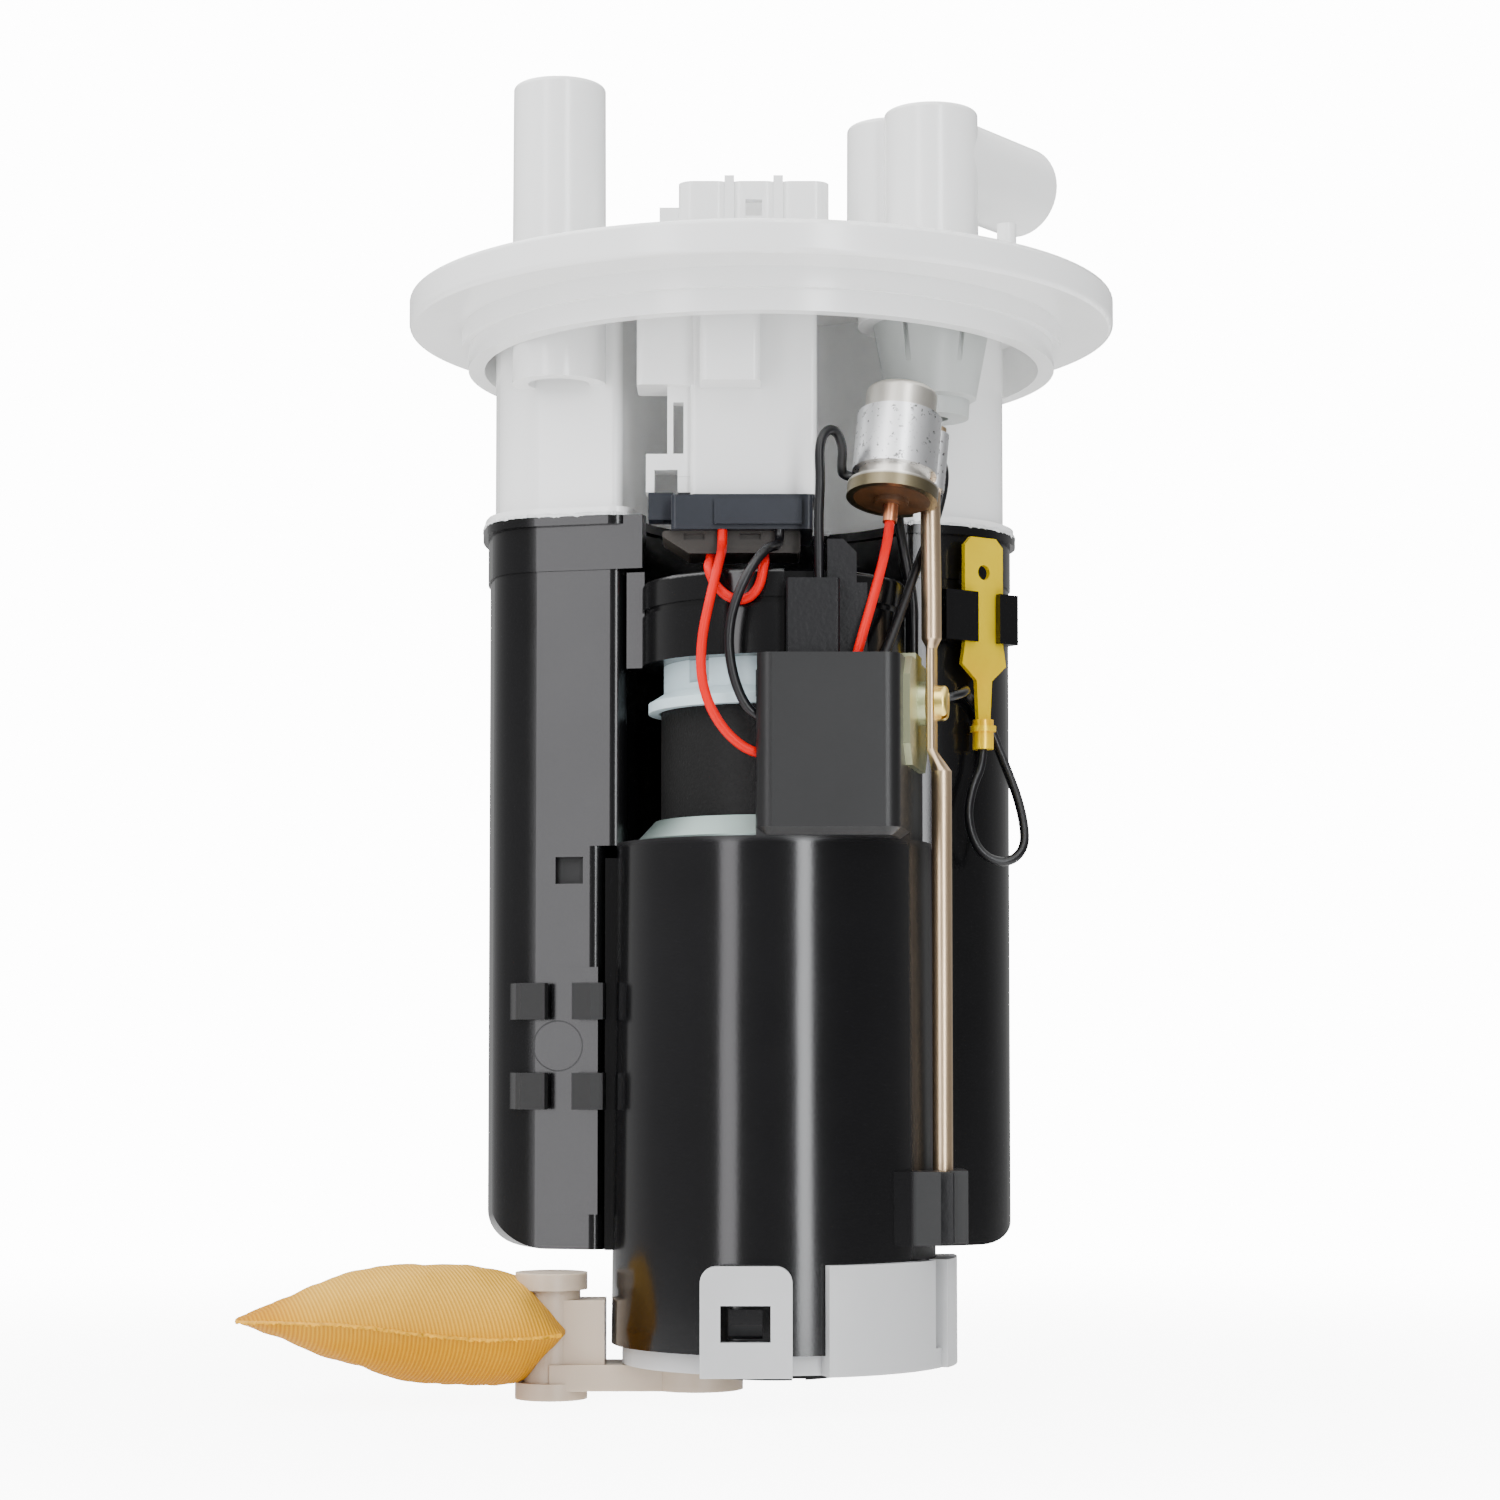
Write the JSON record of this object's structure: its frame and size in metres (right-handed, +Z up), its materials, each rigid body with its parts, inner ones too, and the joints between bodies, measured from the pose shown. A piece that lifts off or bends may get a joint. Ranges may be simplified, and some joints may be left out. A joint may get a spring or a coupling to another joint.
{
  "type": "fuel pump module",
  "caption": "Round plastic flange with towers and an angled outlet over a C-shaped filter canister that holds an electric turbine pump, with a mesh strainer on an arm below.",
  "frame": {"origin": "centre of the underside of the flange's rim, where the module rests on the tank", "axes": "+Z points up out of the tank, -Y is the service side with the wires, +X is to the right seen from that side"},
  "size_m": [0.1401, 0.115, 0.2063],
  "materials": {
    "white_plastic": "satin milky white, slightly translucent",
    "black_plastic": "moulded black, glossy",
    "black_box_plastic": "moulded black, satin, brushed on the box front",
    "black_textured": "fine textured black",
    "black_rubber": "matte black",
    "green_rubber": "matte dark green",
    "filter_paper": "pleated cream media",
    "end_cap_plastic": "natural",
    "zinc_plate": "zinc plated, faint greenish white",
    "die_cast": "die cast, machined faces",
    "bronze": "sintered",
    "phenolic_brown": "moulded phenolic",
    "steel": "ground",
    "core_steel": "laminated",
    "copper": "copper, slightly tarnished",
    "ferrite": "sintered, dull",
    "carbon": "sintered carbon",
    "spring_steel": "drawn wire",
    "brass_turned": "turned",
    "brass_sheet": "bright stamped sheet",
    "blue_white_plastic": "satin bluish white",
    "retainer_plastic": "satin white, slightly translucent",
    "cream_plastic": "natural, translucent cream",
    "mesh_fabric": "fine ribbed nylon mesh, amber",
    "plug_black": "satin black, bluish",
    "plug_brown": "satin brown black",
    "tin_plate": "tin plated",
    "cap_plastic": "satin white",
    "regulator_plastic": "satin grey",
    "nickel_can": "nickel, dulled",
    "winding_film": "wound film",
    "phenolic_orange": "phenolic paper, orange brown",
    "yellow_zinc": "yellow green zinc plate",
    "champagne_zinc": "champagne zinc plate",
    "yellow_chromate": "yellow chromate",
    "wire_red": "smooth insulation, red",
    "wire_black": "smooth insulation, black"
  },
  "bodies": {
    "housing": {"flange": "white_plastic", "filter_case": "black_plastic", "filter_element": "filter_paper", "filter_end_caps": "end_cap_plastic", "pump_casing": "zinc_plate", "pump_inlet_cover": "die_cast", "pump_body_plate": "die_cast", "lower_bearing": "bronze", "magnets": "ferrite", "pump_top_cover": "black_textured", "upper_bearing": "bronze", "brushes": "carbon", "brush_springs": "spring_steel", "valve_cage": "black_textured", "check_valve_spring": "spring_steel", "spacer_ring": "blue_white_plastic", "top_holder": "black_plastic", "nipple_seal": "green_rubber", "pump_holder": "black_box_plastic", "terminal_block": "black_box_plastic", "bottom_retainer": "retainer_plastic", "foot_ring": "black_rubber", "strainer_frame": "cream_plastic", "strainer_sock": "mesh_fabric", "harness_plug": "plug_black", "plug_retainer": "plug_brown", "connector_pins": "tin_plate", "regulator_cap": "cap_plastic", "regulator_body": "regulator_plastic", "regulator_spring": "spring_steel", "condenser_can": "nickel_can", "condenser_winding": "winding_film", "condenser_strap": "zinc_plate", "condenser_insulator": "phenolic_orange", "condenser_pin": "copper", "ground_bracket": "yellow_zinc", "bracket_washer": "yellow_zinc", "support_rod": "champagne_zinc", "bracket_screw": "yellow_chromate", "blade_terminal": "brass_sheet", "wire_pump_red": "wire_red", "wire_pump_black": "wire_black", "wire_bridge_red": "wire_red", "wire_condenser_red": "wire_red", "wire_condenser_black": "wire_black", "wire_ground_loop": "wire_black", "wire_terminal_black": "wire_black"},
    "rotor": {"impeller": "phenolic_brown", "pump_shaft": "steel", "armature": "core_steel", "commutator": "copper"},
    "check_valve_plunger": {"check_valve": "brass_turned"},
    "regulator_plunger": {"regulator_valve": "brass_turned"}
  },
  "joints": [
    {"name": "pump_spin", "type": "hinge", "parent": "housing", "child": "rotor", "pos_m": [0.0019, -0.022, -0.12], "axis": [0, 0, 1], "continuous": true},
    {"name": "check_valve_lift", "type": "slide", "parent": "housing", "child": "check_valve_plunger", "axis": [0, 0, 1], "range_m": [0, 0.002], "stiffness_N_per_m": 150, "springref_m": -0.002, "deforming": ["check_valve_spring"]},
    {"name": "regulator_lift", "type": "slide", "parent": "housing", "child": "regulator_plunger", "axis": [0, 0, -1], "range_m": [0, 0.001], "stiffness_N_per_m": 400, "springref_m": -0.002, "deforming": ["regulator_spring"]}
  ]
}
